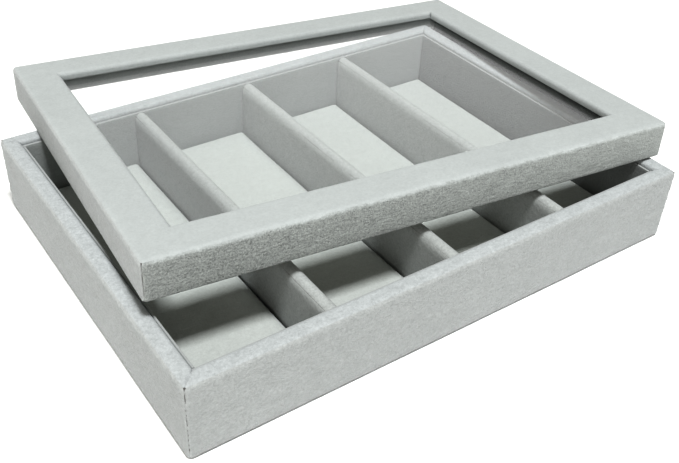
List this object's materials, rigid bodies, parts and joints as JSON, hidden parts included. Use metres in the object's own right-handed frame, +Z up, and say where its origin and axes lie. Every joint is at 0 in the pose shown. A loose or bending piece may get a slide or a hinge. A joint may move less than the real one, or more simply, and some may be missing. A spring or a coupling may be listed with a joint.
{
  "type": "multi glasses organizer",
  "caption": "Low velvet-covered tray with long padded compartments for glasses, and a loose lift-off lid with a clear window, lying askew on the rim.",
  "frame": {"origin": "centre of the tray's underside, on the surface it stands on", "axes": "+X along the tray's long front side to its right, +Y from front to back, +Z up"},
  "size_m": [0.345, 0.2796, 0.0787],
  "materials": {
    "velvet": "short-pile velvet, pale cool grey",
    "lining_velvet": "short-pile velvet, pale cool grey, on inner faces",
    "pad_velvet": "short-pile velvet over a thin foam pad",
    "greyboard": "matt recycled board",
    "lining_paper": "matt non-woven sheet",
    "clear_pane": "clear, polished"
  },
  "bodies": {
    "tray": {"bottom_sheet": "lining_paper", "base_board": "greyboard", "front_wall_board": "greyboard", "front_wall_cover": "velvet", "front_lining": "lining_velvet", "right_wall_board": "greyboard", "right_wall_cover": "velvet", "right_lining": "lining_velvet", "back_wall_board": "greyboard", "back_wall_cover": "velvet", "back_lining": "lining_velvet", "left_wall_board": "greyboard", "left_wall_cover": "velvet", "left_lining": "lining_velvet", "divider_1_cover": "lining_velvet", "divider_1_board": "greyboard", "divider_2_cover": "lining_velvet", "divider_2_board": "greyboard", "divider_3_cover": "lining_velvet", "divider_3_board": "greyboard", "floor_pad_1": "pad_velvet", "floor_pad_2": "pad_velvet", "floor_pad_3": "pad_velvet", "floor_pad_4": "pad_velvet"},
    "lid": {"lid_front_skirt_board": "greyboard", "lid_front_rail_board": "greyboard", "lid_front_cover": "velvet", "lid_right_skirt_board": "greyboard", "lid_right_rail_board": "greyboard", "lid_right_cover": "velvet", "lid_back_skirt_board": "greyboard", "lid_back_rail_board": "greyboard", "lid_back_cover": "velvet", "lid_left_skirt_board": "greyboard", "lid_left_rail_board": "greyboard", "lid_left_cover": "velvet", "window_pane": "clear_pane", "pane_stop_front": "greyboard", "pane_stop_back": "greyboard", "pane_stop_left": "greyboard", "pane_stop_right": "greyboard"}
  },
  "joints": [
    {"name": "lid_lift", "type": "slide", "parent": "tray", "child": "lid", "axis": [0, 0, 1], "range_m": [0, 0.12]}
  ]
}
